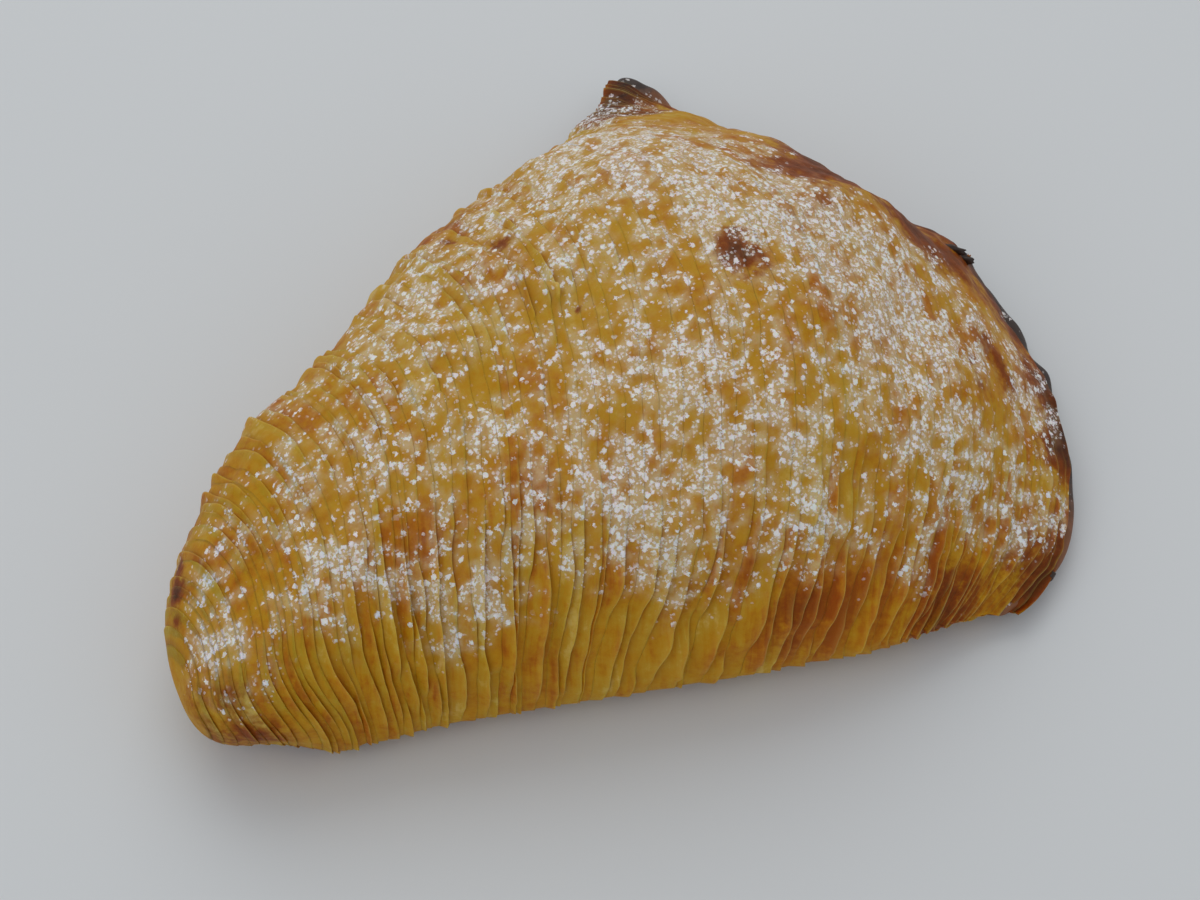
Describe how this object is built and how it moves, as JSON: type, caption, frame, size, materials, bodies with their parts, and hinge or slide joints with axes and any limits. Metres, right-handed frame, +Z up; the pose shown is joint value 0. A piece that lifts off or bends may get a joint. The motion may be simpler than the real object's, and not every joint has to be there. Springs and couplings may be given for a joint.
{
  "type": "sfogliatella",
  "caption": "Shell-shaped baked pastry of thin overlapping leaves, blunt at the tip, domed and pinched shut at the wide mouth, dusted with icing sugar.",
  "frame": {"origin": "on the surface it rests on, under the middle of the pastry's bounding box", "axes": "+X from the blunt tip to the mouth, +Z up from the flat underside to the crown, +Y to the back flank"},
  "size_m": [0.12, 0.1, 0.037],
  "materials": {
    "crust": "baked golden pastry, satin, thin leaves, dusted with icing sugar"
  },
  "bodies": {
    "root": {"sfogliatella": "crust"}
  },
  "joints": []
}
